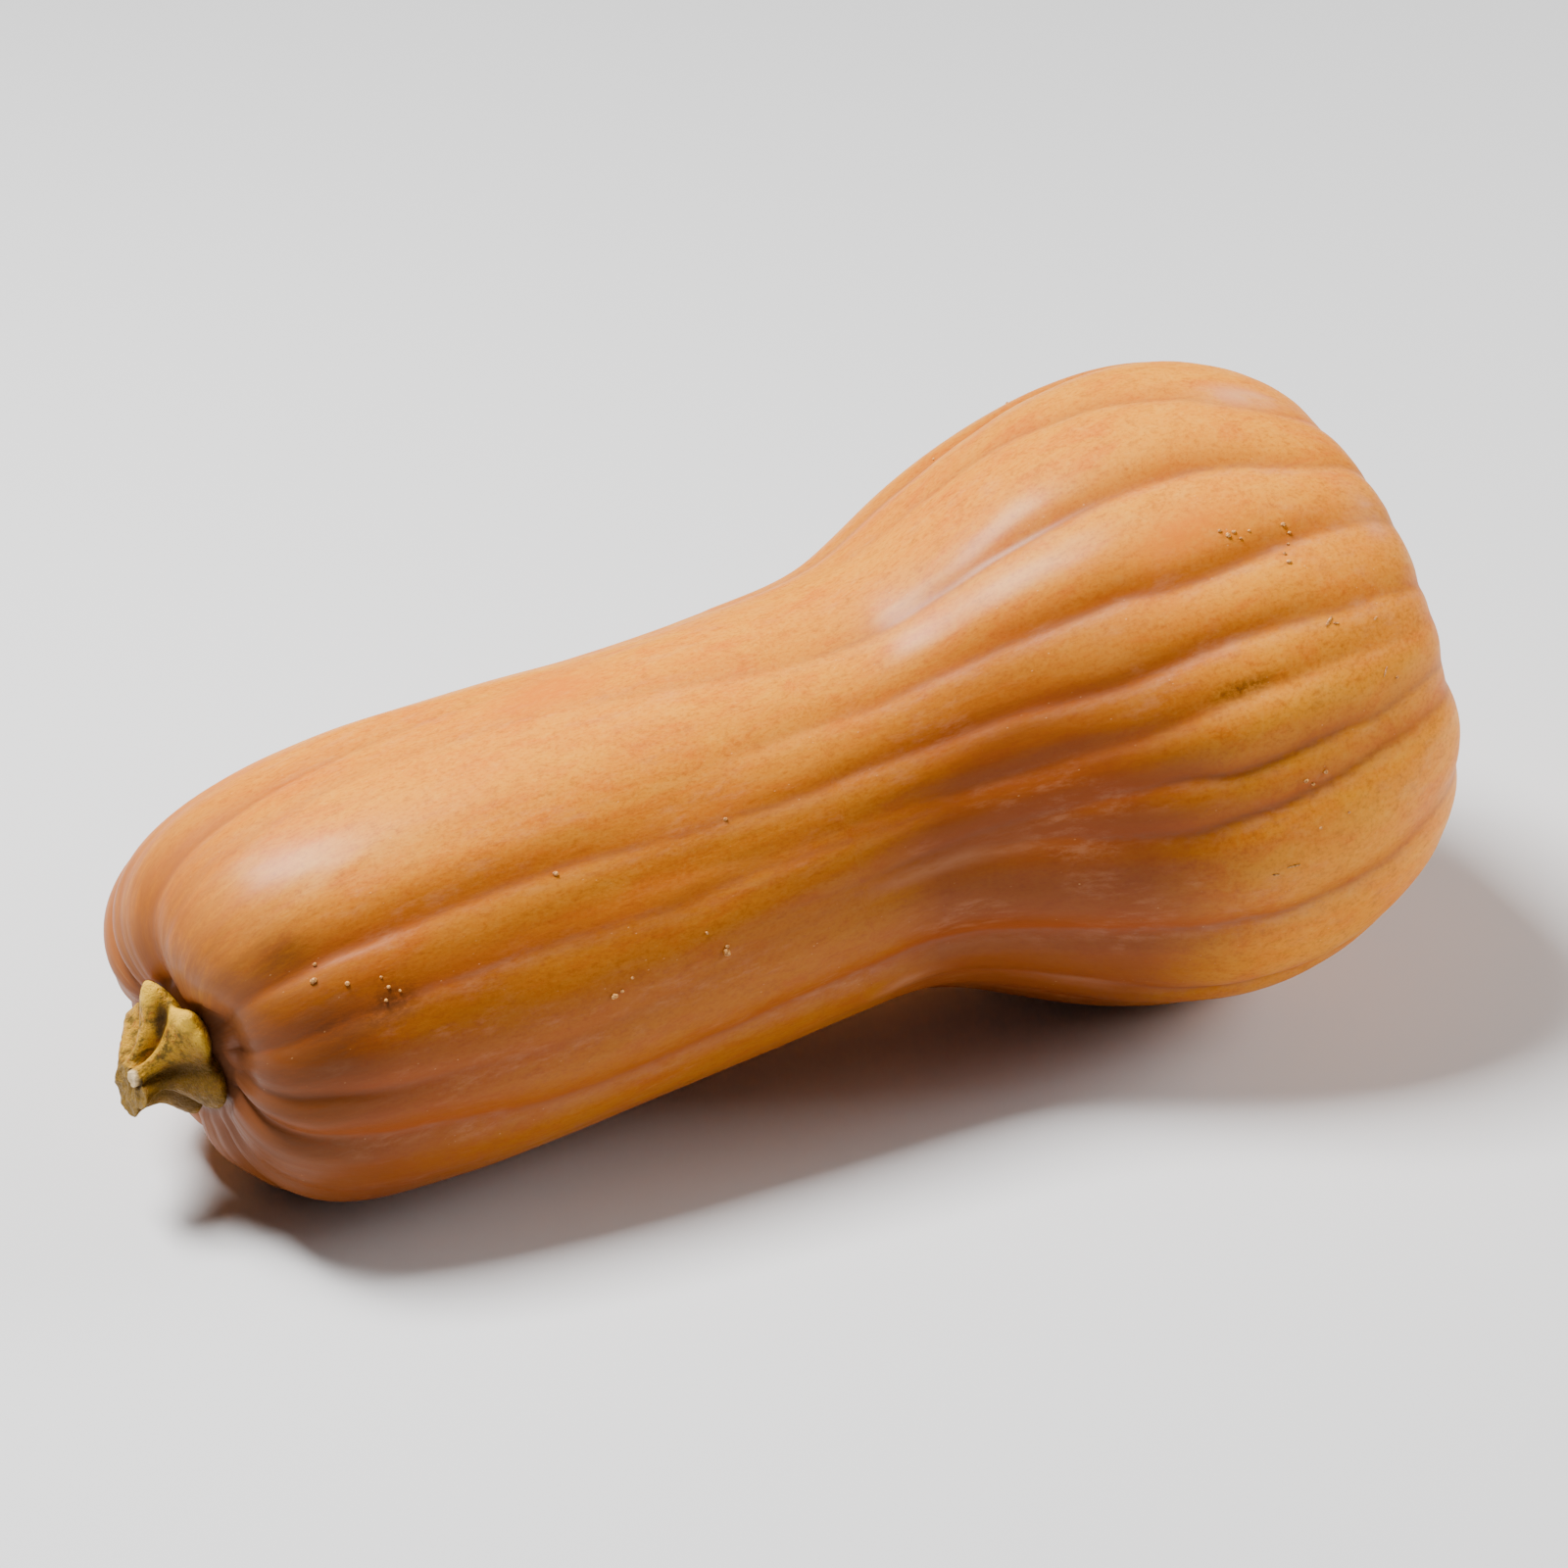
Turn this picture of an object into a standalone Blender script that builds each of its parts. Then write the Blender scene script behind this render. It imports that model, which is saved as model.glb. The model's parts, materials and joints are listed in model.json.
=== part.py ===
"""Butternut squash lying on its side: one ribbed fruit and its short corky stem.

Units are metres and degrees. The fruit is shaped about an axis along +X, from the stem end to the
blossom end, and is then laid on the surface z = 0. A station is a distance along that axis from the
rim of the stem-end hollow. An angle round the axis starts at the top and turns towards the front (-Y).
"""

import math
import random

import bmesh
import bpy
import numpy as np
from mathutils import Matrix

# Outline of the fruit from the stem-end hollow to the blossom end: (station, radius).
OUTLINE = (
    (0.0055, 0.0),
    (0.0034, 0.0120),
    (0.0, 0.0200),
    (0.0030, 0.0280),
    (0.0120, 0.0366),
    (0.0300, 0.0418),
    (0.0900, 0.0423),
    (0.1250, 0.0411),
    (0.1450, 0.0424),
    (0.1650, 0.0508),
    (0.1880, 0.0595),
    (0.2085, 0.0621),
    (0.2290, 0.0580),
    (0.2440, 0.0480),
    (0.2487, 0.0),
)

# The stem end droops towards the front and the floor, and the spine lifts a little at the waist.
DROOP_LENGTH = 0.050
DROOP = 0.0050
DROOP_ANGLE = 145.0
WAIST_STATION = 0.157
WAIST_LIFT = 0.0010
WAIST_SPAN = 0.026

# Furrows: stations where each one is given, then its angle and depth at each of those stations,
# the half width above and below its floor, and the height of the lip along its lower side.
FURROW_STATIONS = (0.004, 0.060, 0.130, 0.195, 0.234)
FURROWS = (
    ((50, 47, 48, 51, 52), (0.0020, 0.0016, 0.0013, 0.0018, 0.0009), 0.0075, 0.0028, 0.0008),
    ((38, 36, 34, 37, 36), (0.0000, 0.0000, 0.0007, 0.0022, 0.0010), 0.0040, 0.0040, 0.0003),
    ((8, 2, 13, 16, 22), (0.0006, 0.0003, 0.0007, 0.0016, 0.0009), 0.0050, 0.0036, 0.0002),
    ((-6, -9, -14, -6, 7), (0.0016, 0.0004, 0.0000, 0.0009, 0.0006), 0.0040, 0.0040, 0.0),
    ((64, 66, 68, 67, 66), (0.0010, 0.0009, 0.0004, 0.0000, 0.0000), 0.0045, 0.0045, 0.0),
    ((58, 58, 65, 63, 62), (0.0000, 0.0000, 0.0006, 0.0009, 0.0004), 0.0026, 0.0026, 0.0),
    ((84, 80, 77, 73, 71), (0.0000, 0.0000, 0.0008, 0.0021, 0.0011), 0.0055, 0.0040, 0.0),
    ((83, 92, 82, 85, 79), (0.0010, 0.0006, 0.0007, 0.0018, 0.0010), 0.0042, 0.0036, 0.0002),
    ((98, 112, 111, 109, 102), (0.0019, 0.0013, 0.0015, 0.0017, 0.0009), 0.0040, 0.0030, 0.0004),
)

# The rest of the way round, the furrows follow a rule: evenly spaced, every second one full length.
RULED_FURROWS = 11
RULED_FROM = 109.0
RULED_TO = 354.0
RULED_WANDER = 3.5
RULED_DEPTHS_LONG = (0.0015, 0.0012, 0.0011, 0.0018, 0.0009)
RULED_DEPTHS_SHORT = (0.0005, 0.0000, 0.0005, 0.0015, 0.0008)
RULED_HALF_WIDTH = 0.0040
SEED = 20

FULL_WIDTH_RADIUS = 0.040
FURROWS_FROM_RADIUS = 0.0125
FURROWS_FULL_RADIUS = 0.0190
LIP_DISTANCE = 0.0052
LIP_HALF_WIDTH = 0.0022

# Slow swell of the surface, as sines of (turns round, waves along, height).
SWELLS = ((2, 1.3, -0.0006), (3, 2.1, -0.0004), (5, 2.9, 0.0003))

# Blossom scar: a shallow ring-shaped hollow round a low corky nub.
SCAR_RADIUS = 0.0075
SCAR_DEPTH = 0.0010
SCAR_NUB_RADIUS = 0.0030
SCAR_NUB = 0.0012

FRUIT_SIDES = 108
FRUIT_RINGS = 46
END_CROWDING = 0.45

# Stem ridges: angle, then radius at the cut, half way down, and at the foot.
STEM_RIDGES = (
    (-68, 0.0049, 0.0100, 0.0116),
    (-25, 0.0053, 0.0088, 0.0132),
    (42, 0.0058, 0.0080, 0.0122),
    (130, 0.0076, 0.0064, 0.0128),
    (184, 0.0046, 0.0072, 0.0138),
)
STEM_FURROW = (0.0045, 0.0046, 0.0089)
STEM_RIDGE_SHARPNESS = 1.4
STEM_CUT_HEIGHT = 0.0094
STEM_CUT_SLOPE = 0.40
STEM_CUT_HIGH_SIDE = 200.0
STEM_FOOT_SHARE = 0.86
STEM_TUCK = 0.92
STEM_SIDES = 60
STEM_RINGS = 26
STEM_CUT_RINGS = 5
STEM_UNDER_RINGS = 5

GAP = 0.0004
SETTLE = 0.0009

SKIN_COLOUR = (0.72, 0.30, 0.07, 1.0)
STEM_COLOUR = (0.35, 0.24, 0.07, 1.0)


def spline(knots, values, at, first=None, last=None):
    """Cubic spline through the knots; an end with no slope given is left free."""
    x = np.asarray(knots, float)
    y = np.asarray(values, float)
    count = len(x)
    step = np.diff(x)
    rise = np.diff(y) / step
    system = np.zeros((count, count))
    right = np.zeros(count)
    for i in range(1, count - 1):
        system[i, i - 1 : i + 2] = (1 / step[i - 1], 2 / step[i - 1] + 2 / step[i], 1 / step[i])
        right[i] = 3 * (rise[i - 1] / step[i - 1] + rise[i] / step[i])
    system[0, :2] = (1, 0) if first is not None else (2, 1)
    right[0] = first if first is not None else 3 * rise[0]
    system[-1, -2:] = (0, 1) if last is not None else (1, 2)
    right[-1] = last if last is not None else 3 * rise[-1]
    slope = np.linalg.solve(system, right)
    i = np.clip(np.searchsorted(x, at, side="right") - 1, 0, count - 2)
    u = (at - x[i]) / step[i]
    return (
        (1 + 2 * u) * (1 - u) ** 2 * y[i]
        + u * (1 - u) ** 2 * step[i] * slope[i]
        + u**2 * (3 - 2 * u) * y[i + 1]
        - u**2 * (1 - u) * step[i] * slope[i + 1]
    )


def smooth_step(value, low, high):
    u = np.clip((value - low) / (high - low), 0, 1)
    return u * u * (3 - 2 * u)


def turned(angle):
    """Angles in degrees, brought into -180..180."""
    return (angle + 180) % 360 - 180


def outline(share):
    """Station and radius of the smooth outline, where share runs from 0 at the stem to 1 at the scar."""
    points = np.array(OUTLINE)
    run = np.concatenate(([0], np.cumsum(np.hypot(*np.diff(points, axis=0).T))))
    at = share * run[-1]
    station = spline(run, points[:, 0], at, first=0, last=0)
    radius = spline(run, points[:, 1], at, first=1, last=-1)
    return station, np.maximum(radius, 0)


def outline_normal(share):
    """Unit normal of the outline, as parts along the axis and away from it."""
    nudge = 1e-4
    after = outline(np.minimum(share + nudge, 1))
    before = outline(np.maximum(share - nudge, 0))
    along = after[0] - before[0]
    out = after[1] - before[1]
    length = np.hypot(along, out)
    return -out / length, along / length


def ruled_furrows():
    """The furrows of the back and underside."""
    draw = random.Random(SEED)
    spacing = (RULED_TO - RULED_FROM) / (RULED_FURROWS + 1)
    furrows = []
    for i in range(RULED_FURROWS):
        middle = RULED_FROM + spacing * (i + 1)
        angles = [middle + draw.uniform(-RULED_WANDER, RULED_WANDER) for _ in FURROW_STATIONS]
        depths = RULED_DEPTHS_LONG if i % 2 else RULED_DEPTHS_SHORT
        strength = draw.uniform(0.8, 1.15)
        furrows.append((angles, [d * strength for d in depths], RULED_HALF_WIDTH, RULED_HALF_WIDTH, 0.0))
    return furrows


def relief(station, radius, angle):
    """Height of the skin over the smooth outline."""
    inside = np.clip(station, FURROW_STATIONS[0], FURROW_STATIONS[-1])
    narrowing = np.clip(radius / FULL_WIDTH_RADIUS, 0.2, 1)
    height = np.zeros_like(station)
    for angles, depths, above, below, lip in list(FURROWS) + ruled_furrows():
        floor = spline(FURROW_STATIONS, angles, inside)
        depth = np.maximum(spline(FURROW_STATIONS, depths, inside), 0)
        across = np.radians(turned(angle - floor)) * radius / narrowing
        half_width = np.where(across < 0, above, below)
        height -= depth / np.cosh(across / half_width)
        height += lip * depth / max(depths) * np.exp(-(((across - LIP_DISTANCE) / LIP_HALF_WIDTH) ** 2))
    for turns, waves, swell in SWELLS:
        phase = turns * np.radians(angle) + waves * 2 * math.pi * station / OUTLINE[-1][0]
        height += swell * np.sin(phase)
    height *= smooth_step(radius, FURROWS_FROM_RADIUS, FURROWS_FULL_RADIUS)
    at_scar = station > OUTLINE[-1][0] / 2
    ring = np.exp(-(((radius - SCAR_RADIUS / 2) / (SCAR_RADIUS / 2)) ** 2))
    nub = np.exp(-((radius / SCAR_NUB_RADIUS) ** 2))
    return height + at_scar * (SCAR_NUB * nub - SCAR_DEPTH * ring)


def bent(station, radius, angle):
    """Points of the fruit's space, with the drooping stem end and the lifted waist."""
    turn = np.radians(angle)
    side = -radius * np.sin(turn)
    up = radius * np.cos(turn)
    droop_side = -math.sin(math.radians(DROOP_ANGLE))
    droop_up = math.cos(math.radians(DROOP_ANGLE))
    reach = np.clip(1 - station / DROOP_LENGTH, 0, None)
    lean = np.arctan(2 * DROOP / DROOP_LENGTH * reach)
    lift = WAIST_LIFT * np.exp(-(((station - WAIST_STATION) / WAIST_SPAN) ** 2))
    along = side * droop_side + up * droop_up
    shift = along * (np.cos(lean) - 1) + DROOP * reach**2 - lift
    return np.stack(
        (station + along * np.sin(lean), side + shift * droop_side, up + shift * droop_up), axis=-1
    )


def fruit_points(share, angle):
    station, radius = outline(share)
    along, out = outline_normal(share)
    height = relief(station, radius, angle)
    return bent(station + along * height, radius + out * height, angle)


def stem_radii(angle):
    """Radius at the cut, half way down and at the foot, where ridges stand out of hollow flanks."""
    ridges = np.array(STEM_RIDGES, float)
    gap = turned(angle[:, None] - ridges[None, :, 0])
    before = np.where(gap >= 0, gap, gap + 360)
    after = np.where(gap < 0, -gap, 360 - gap)
    left = before.argmin(axis=1)
    right = after.argmin(axis=1)
    rows = np.arange(len(angle))
    span = before[rows, left] + after[rows, right]
    share = before[rows, left] / span
    nearest = np.where((share < 0.5)[:, None], ridges[left, 1:], ridges[right, 1:])
    crest = np.abs(np.cos(math.pi * share))[:, None] ** STEM_RIDGE_SHARPNESS
    return nearest * crest + np.array(STEM_FURROW) * (1 - crest)


def hollow_station(radius):
    """Station of the fruit's surface inside the stem-end hollow, at a radius."""
    share = np.linspace(0, 0.12, 200)
    stations, radii = outline(share)
    return np.interp(radius, radii, stations)


def stem_points(share, angle):
    """share runs from 0 at the middle of the cut, over its edge and down the side, to 1 underneath."""
    ring = share * STEM_RINGS
    cut, middle, foot = stem_radii(angle).T
    tucked = foot * STEM_TUCK
    last_side_ring = STEM_RINGS - STEM_UNDER_RINGS
    down = np.clip((ring - STEM_CUT_RINGS) / (last_side_ring - STEM_CUT_RINGS), 0, 1)
    side_radius = np.empty_like(share)
    for i, at in enumerate(down):
        side_radius[i] = spline(
            (0, 0.5, STEM_FOOT_SHARE, 1), (cut[i], middle[i], foot[i], tucked[i]), at
        )
    inwards = np.minimum(ring / STEM_CUT_RINGS, 1) * np.clip((STEM_RINGS - ring) / STEM_UNDER_RINGS, 0, 1)
    radius = side_radius * inwards
    lean = np.cos(np.radians(angle - STEM_CUT_HIGH_SIDE))
    cut_height = STEM_CUT_HEIGHT + STEM_CUT_SLOPE * np.minimum(radius, cut) * lean
    seat_height = GAP - hollow_station(radius)
    foot_height = GAP - hollow_station(tucked)
    height = np.where(ring > last_side_ring, seat_height, cut_height * (1 - down) + foot_height * down)
    return bent(-height, radius, angle)


def shaped_sphere(name, sides, rings, points_of, colour, roughness):
    """A sphere whose poles lie on the axis, with its vertices moved to the points of the shape."""
    shape = bmesh.new()
    bmesh.ops.create_uvsphere(shape, u_segments=sides, v_segments=rings, radius=1)
    places = np.array([vertex.co for vertex in shape.verts])
    share = np.round(np.arccos(np.clip(places[:, 2], -1, 1)) / math.pi * rings) / rings
    angle = -np.degrees(np.arctan2(places[:, 1], places[:, 0]))
    for vertex, point in zip(shape.verts, points_of(share, angle)):
        vertex.co = point
    bmesh.ops.triangulate(shape, faces=shape.faces)
    mesh = bpy.data.meshes.new(name)
    shape.to_mesh(mesh)
    shape.free()
    mesh.shade_smooth()
    mesh.materials.append(plain_material(name + "_skin", colour, roughness))
    return bpy.data.objects.new(name, mesh)


def plain_material(name, colour, roughness):
    material = bpy.data.materials.new(name)
    material.use_nodes = True
    shader = material.node_tree.nodes["Principled BSDF"]
    shader.inputs["Base Color"].default_value = colour
    shader.inputs["Roughness"].default_value = roughness
    return material


def crowded(share):
    """Rings lie closer together towards both ends, where the outline turns."""
    return share - END_CROWDING * np.sin(2 * math.pi * share) / (2 * math.pi)


def resting_tilt(points):
    """Turn about Y that brings the stem end and the bulb to the same lowest level."""
    middle = OUTLINE[-1][0] / 2
    tilt = 0.0
    for _ in range(10):
        height = points[:, 0] * math.sin(tilt) + points[:, 2] * math.cos(tilt)
        neck = np.where(points[:, 0] < middle, height, np.inf).argmin()
        bulb = np.where(points[:, 0] > middle, height, np.inf).argmin()
        tilt += (height[neck] - height[bulb]) / (points[bulb, 0] - points[neck, 0])
    return tilt


def lay_down(fruit, stem):
    """Turns both pieces to rest on the bulb and the stem end, with small flat spots at z = 0."""
    points = np.array([vertex.co for vertex in fruit.data.vertices])
    turn = Matrix.Rotation(-resting_tilt(points), 4, "Y")
    for piece in (fruit, stem):
        piece.data.transform(turn)
    fruit_places = [vertex.co for vertex in fruit.data.vertices]
    places = fruit_places + [vertex.co for vertex in stem.data.vertices]
    middle = [(min(p[i] for p in places) + max(p[i] for p in places)) / 2 for i in (0, 1)]
    floor = min(p.z for p in fruit_places) + SETTLE
    for piece in (fruit, stem):
        piece.data.transform(Matrix.Translation((-middle[0], -middle[1], -floor)))
    for vertex in fruit.data.vertices:
        vertex.co.z = max(vertex.co.z, 0)


def main():
    for leftover in list(bpy.data.objects):
        bpy.data.objects.remove(leftover)
    squash = bpy.data.collections.new("butternut_squash")
    bpy.context.scene.collection.children.link(squash)
    fruit = shaped_sphere(
        "fruit", FRUIT_SIDES, FRUIT_RINGS, lambda s, a: fruit_points(crowded(s), a), SKIN_COLOUR, 0.45
    )
    stem = shaped_sphere("stem", STEM_SIDES, STEM_RINGS, stem_points, STEM_COLOUR, 0.8)
    lay_down(fruit, stem)
    for piece in (fruit, stem):
        squash.objects.link(piece)


main()
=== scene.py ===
"""Looks of the butternut squash: its skin, the corky marks on it and its stem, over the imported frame.

Units are metres and degrees. A station is a distance along the fruit's own axis from the rim of the
stem-end hollow, and an angle round that axis starts at the top and turns towards the front (-Y).
"""

import itertools
import json
import math
import random

import bmesh
import bpy
import numpy as np
from mathutils import Matrix, Vector

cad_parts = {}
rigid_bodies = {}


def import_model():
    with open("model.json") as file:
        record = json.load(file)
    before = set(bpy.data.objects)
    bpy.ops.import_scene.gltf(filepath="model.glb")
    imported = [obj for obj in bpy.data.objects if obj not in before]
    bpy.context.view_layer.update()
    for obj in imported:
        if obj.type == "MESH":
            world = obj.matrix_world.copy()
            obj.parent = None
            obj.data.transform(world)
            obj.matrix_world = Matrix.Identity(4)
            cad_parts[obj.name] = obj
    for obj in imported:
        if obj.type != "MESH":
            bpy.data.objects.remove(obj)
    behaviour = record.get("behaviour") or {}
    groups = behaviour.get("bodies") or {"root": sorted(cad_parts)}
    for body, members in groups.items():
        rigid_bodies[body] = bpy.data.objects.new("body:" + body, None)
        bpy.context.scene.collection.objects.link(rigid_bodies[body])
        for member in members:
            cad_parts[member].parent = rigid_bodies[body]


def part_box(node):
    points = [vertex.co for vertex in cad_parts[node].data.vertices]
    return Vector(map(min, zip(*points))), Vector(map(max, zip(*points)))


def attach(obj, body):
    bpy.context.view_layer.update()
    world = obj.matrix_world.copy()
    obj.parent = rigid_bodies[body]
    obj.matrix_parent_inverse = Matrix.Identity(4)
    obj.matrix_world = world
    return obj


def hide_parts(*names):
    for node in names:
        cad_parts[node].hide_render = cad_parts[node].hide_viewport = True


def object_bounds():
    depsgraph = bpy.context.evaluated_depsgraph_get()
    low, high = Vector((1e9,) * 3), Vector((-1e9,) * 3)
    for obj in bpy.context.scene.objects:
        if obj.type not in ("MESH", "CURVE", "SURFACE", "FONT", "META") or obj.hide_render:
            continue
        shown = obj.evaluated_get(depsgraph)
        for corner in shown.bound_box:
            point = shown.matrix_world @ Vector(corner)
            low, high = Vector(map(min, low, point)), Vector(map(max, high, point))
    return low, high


# ---------------------------------------------------------------- the fruit's form

# Station and radius, from the middle of the stem-end hollow to the middle of the blossom scar.
OUTLINE = (
    (0.0016, 0.0),
    (0.0007, 0.0125),
    (0.0, 0.0200),
    (0.0030, 0.0280),
    (0.0120, 0.0366),
    (0.0300, 0.0418),
    (0.0900, 0.0423),
    (0.1250, 0.0411),
    (0.1450, 0.0424),
    (0.1650, 0.0508),
    (0.1880, 0.0595),
    (0.2085, 0.0621),
    (0.2290, 0.0580),
    (0.2440, 0.0480),
    (0.2487, 0.0),
)
LENGTH = OUTLINE[-1][0]

# The stem end droops towards this angle, and the waist is lifted away from it.
DROOP_LENGTH = 0.050
DROOP = 0.0050
DROOP_ANGLE = 145.0
WAIST_STATION = 0.157
WAIST_LIFT = 0.0010
WAIST_SPAN = 0.026

# Each furrow: angle and depth at the furrow stations, half width above and below, height of its lip.
FURROW_STATIONS = (0.004, 0.060, 0.130, 0.195, 0.234)
FURROWS = (
    ((48, 49.5, 52, 53, 54), (0.0021, 0.0014, 0.0013, 0.0018, 0.0009), 0.0046, 0.0066, 0.0),
    ((39, 38, 36, 39, 38), (0.0000, 0.0000, 0.0007, 0.0020, 0.0010), 0.0036, 0.0048, 0.0),
    ((9, 4, 16, 18, 24), (0.0006, 0.0003, 0.0007, 0.0015, 0.0009), 0.0036, 0.0044, 0.0001),
    ((-6, -9, -14, -6, 7), (0.0016, 0.0004, 0.0000, 0.0009, 0.0006), 0.0040, 0.0040, 0.0),
    ((65, 66, 68, 67, 66), (0.0024, 0.0013, 0.0008, 0.0000, 0.0000), 0.0062, 0.0056, 0.0),
    ((58, 58, 65, 63, 62), (0.0000, 0.0000, 0.0006, 0.0009, 0.0004), 0.0026, 0.0026, 0.0),
    ((86, 82, 79, 75, 73), (0.0000, 0.0000, 0.0008, 0.0020, 0.0011), 0.0050, 0.0046, 0.0),
    ((83, 92, 82, 85, 79), (0.0018, 0.0006, 0.0007, 0.0018, 0.0010), 0.0036, 0.0040, 0.0001),
    ((98, 112, 111, 109, 102), (0.0019, 0.0013, 0.0015, 0.0017, 0.0009), 0.0036, 0.0038, 0.0002),
)
# The other furrows are spaced evenly between two angles, each with some wander. Every second one is
# shallower, and nearly stops on the neck.
RULED_FURROWS = 11
RULED_FROM = 109.0
RULED_TO = 354.0
RULED_WANDER = 3.5
RULED_DEPTHS_LONG = (0.0015, 0.0012, 0.0011, 0.0018, 0.0009)
RULED_DEPTHS_SHORT = (0.0005, 0.0000, 0.0005, 0.0015, 0.0008)
RULED_HALF_WIDTH = 0.0040
RULED_STRENGTHS = (0.8, 1.15)
SEED = 20

# The stem end falls away further on one side; its middle is at this angle, and it comes and goes
# between these radii.
CUT_BACK = 0.0048
CUT_BACK_ANGLE = 50.0
CUT_BACK_NARROWNESS = 1.5
CUT_BACK_COMES = (0.002, 0.0125)
CUT_BACK_GOES = (0.018, 0.037)

# Furrows narrow with the radius towards both ends, and fade out round the stem and the scar.
FULL_WIDTH_RADIUS = 0.040
LEAST_NARROWING = 0.2
FURROWS_FROM_RADIUS = 0.0112
FURROWS_FULL_RADIUS = 0.0170
BLOSSOM_FULL_RADIUS = 0.0380
LIP_DISTANCE = 0.0052
LIP_HALF_WIDTH = 0.0022
# Slow swells: turns round the fruit, waves along it, height.
SWELLS = ((2, 1.3, -0.0006), (3, 2.1, -0.0004), (5, 2.9, 0.0003))
SCAR_RADIUS = 0.0075
SCAR_DEPTH = 0.0010
SCAR_NUB_RADIUS = 0.0030
SCAR_NUB = 0.0012

# The stem's ridges: angle, then radius at the cut, half way down, and at the foot.
STEM_RIDGES = (
    (-66, 0.0040, 0.0108, 0.0124),
    (-6, 0.0038, 0.0099, 0.0140),
    (35, 0.0050, 0.0092, 0.0148),
    (102, 0.0060, 0.0072, 0.0140),
    (172, 0.0060, 0.0080, 0.0120),
)
# The same three radii between the ridges; a greater sharpness makes narrower ridges.
STEM_FURROW = (0.0042, 0.0058, 0.0112)
STEM_RIDGE_SHARPNESS = 1.4
STEM_CUT_HEIGHT = 0.0094
STEM_CUT_SLOPE = 0.32
STEM_CUT_HIGH_SIDE = 200.0
# The foot has its full radius this share of the way down, then tucks in to a share of that radius. Its
# underside is sunk in the skin.
STEM_FOOT_SHARE = 0.82
STEM_TUCK = 0.80
STEM_SIDE_LENGTH = 0.013
STEM_SUNK = 0.0004

# Knobs and pits of the stem: angle, share of the way down its side, size round, size along, height.
STEM_KNOBS = (
    (-44, 0.78, 0.0026, 0.0026, 0.0006),
    (-9, 0.75, 0.0026, 0.0025, 0.0027),
    (16, 0.82, 0.0019, 0.0020, 0.0016),
    (8, 0.68, 0.0015, 0.0016, -0.0024),
    (10, 0.34, 0.0010, 0.0036, -0.0008),
    (22, 0.42, 0.0009, 0.0044, 0.0006),
    (34, 0.77, 0.0023, 0.0022, 0.0025),
    (50, 0.80, 0.0016, 0.0018, 0.0015),
    (62, 0.88, 0.0024, 0.0022, 0.0014),
    (76, 0.56, 0.0026, 0.0040, -0.0016),
    (102, 0.84, 0.0026, 0.0026, 0.0008),
    (138, 0.80, 0.0028, 0.0036, -0.0034),
    (168, 0.62, 0.0034, 0.0040, -0.0008),
    (186, 0.84, 0.0028, 0.0024, 0.0007),
    (235, 0.70, 0.0026, 0.0028, -0.0016),
    (-70, 0.78, 0.0024, 0.0022, 0.0006),
)
# They fade out next to the cut and next to the foot, over these shares of the way down.
STEM_SIDE_COMES = (0, 0.08)
STEM_SIDE_GOES = (0.93, 1)

# A chip lifted off the cut at one ridge: angle, distance from the middle, size, lift, and how narrow it
# is. It is flat over a share of its size, and may reach a little past the edge of the cut.
CHIP_ANGLE = 40.0
CHIP_DISTANCE = 0.0038
CHIP_SIZE = 0.0014
CHIP_LIFT = 0.0009
CHIP_NARROWNESS = 0.7
CHIP_FLAT_SHARE = 0.8
CHIP_REACH = 1.05

# The crack round the chip.
CRACK_DISTANCE = 1.08 * CHIP_SIZE
CRACK_HALF_WIDTH = 0.00022
CRACK_DEPTH = 0.0004
CRACK_REACH = 1.2

# ---------------------------------------------------------------- finer form, for the looks only

FRUIT_SIDES = 480
FRUIT_RINGS = 206
END_CROWDING = 0.45
# The stem-end hollow and its rim lie in this first share of the outline.
HOLLOW_SHARE = 0.12
STEM_SIDES = 240
STEM_RINGS = 130
# How much of the way from pole to pole lies on the stem's cut, and how much underneath it.
STEM_CUT_SHARE = 5 / 26
STEM_UNDER_SHARE = 5 / 26
# Fine grain of the stem's side: size along, size across, height. Tears of its cut: size, height.
STEM_GRAIN = ((0.0060, 0.0014, 0.00026), (0.0022, 0.0007, 0.00013), (0.0009, 0.0006, 0.00006))
CUT_TEARS = ((0.0022, 0.00035), (0.0007, 0.00015))
CUT_TEARS_GO = (0, 0.05)

# Fine unevenness of the skin: size along, size across, height.
SKIN_LUMPS = ((0.050, 0.0065, 0.00024), (0.016, 0.0090, 0.00026), (0.007, 0.0030, 0.00006))
# Radii of the cylinder in which the skin's noises run along the fruit, and of the disc that closes it.
GRAIN_RADIUS = 0.050
BLOSSOM_GRAIN_RADIUS = 0.046

# A furrow's floor has a sharp crease in it, which wavers and comes and goes.
CREASE_SHARE = 0.36
CREASE_ABOVE = 0.0017
CREASE_BELOW = 0.0011
CREASE_WAVES = ((0.022, 1.1), (0.008, 0.5))
CREASE_MEAN = 0.9
CREASE_SWING = 0.6
CREASE_SWING_LENGTH = 0.025
CREASE_LANE = 50

# Painted shade and colour beside a furrow's floor, at full strength where the furrow is this deep.
FULL_STRENGTH_DEPTH = 0.0018
LINE_HALF_WIDTH = 0.0007
SHADE_ABOVE = 0.0031
SHADE_BELOW = 0.0008
HAZE_DISTANCE = 0.0016
HAZE_HALF_WIDTH = 0.0014

# The skin stays this far inside the fruit's box, and further at the stem end. At the floor it is let
# down by the settling instead, and pressed flat there.
SKIN_CLEARANCE = 0.0003
END_CLEARANCE = 0.0014
SETTLE = 0.0009

# The skin dips in a narrow moat round the foot of the stem.
MOAT_DISTANCE = 0.0006
MOAT_HALF_WIDTH = 0.0012
MOAT_DEPTH = 0.0006
# Painted shadow on the skin reaches this far from the stem's foot.
SEAT_SHADOW_WIDTH = 0.0016
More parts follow.
